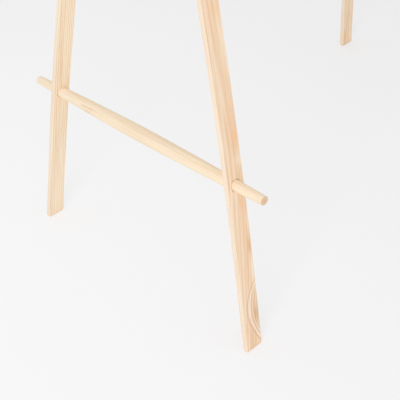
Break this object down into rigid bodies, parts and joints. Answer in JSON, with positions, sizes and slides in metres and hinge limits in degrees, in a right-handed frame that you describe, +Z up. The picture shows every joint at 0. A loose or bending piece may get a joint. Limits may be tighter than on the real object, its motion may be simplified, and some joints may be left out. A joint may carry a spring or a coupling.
{
  "type": "coat stand",
  "caption": "Free-standing wooden coat rack: two leaning A-shaped frames of thin bowed legs, each spread by a tapered through stretcher, carry one round rail.",
  "frame": {"origin": "on the floor, below the middle of the rail", "axes": "+X along the rail towards the right frame, +Y from the front feet to the back feet, +Z up"},
  "size_m": [1.1884, 0.7522, 1.6948],
  "materials": {
    "leg_wood": "smooth bare ash, matt",
    "spindle_wood": "turned bare ash, matt",
    "peg_wood": "turned wooden peg, matt"
  },
  "bodies": {
    "root": {"leg_front_left": "leg_wood", "leg_back_left": "leg_wood", "leg_front_right": "leg_wood", "leg_back_right": "leg_wood", "stretcher_left": "spindle_wood", "stretcher_right": "spindle_wood", "rail": "spindle_wood", "peg_left": "peg_wood", "peg_right": "peg_wood"}
  },
  "joints": []
}
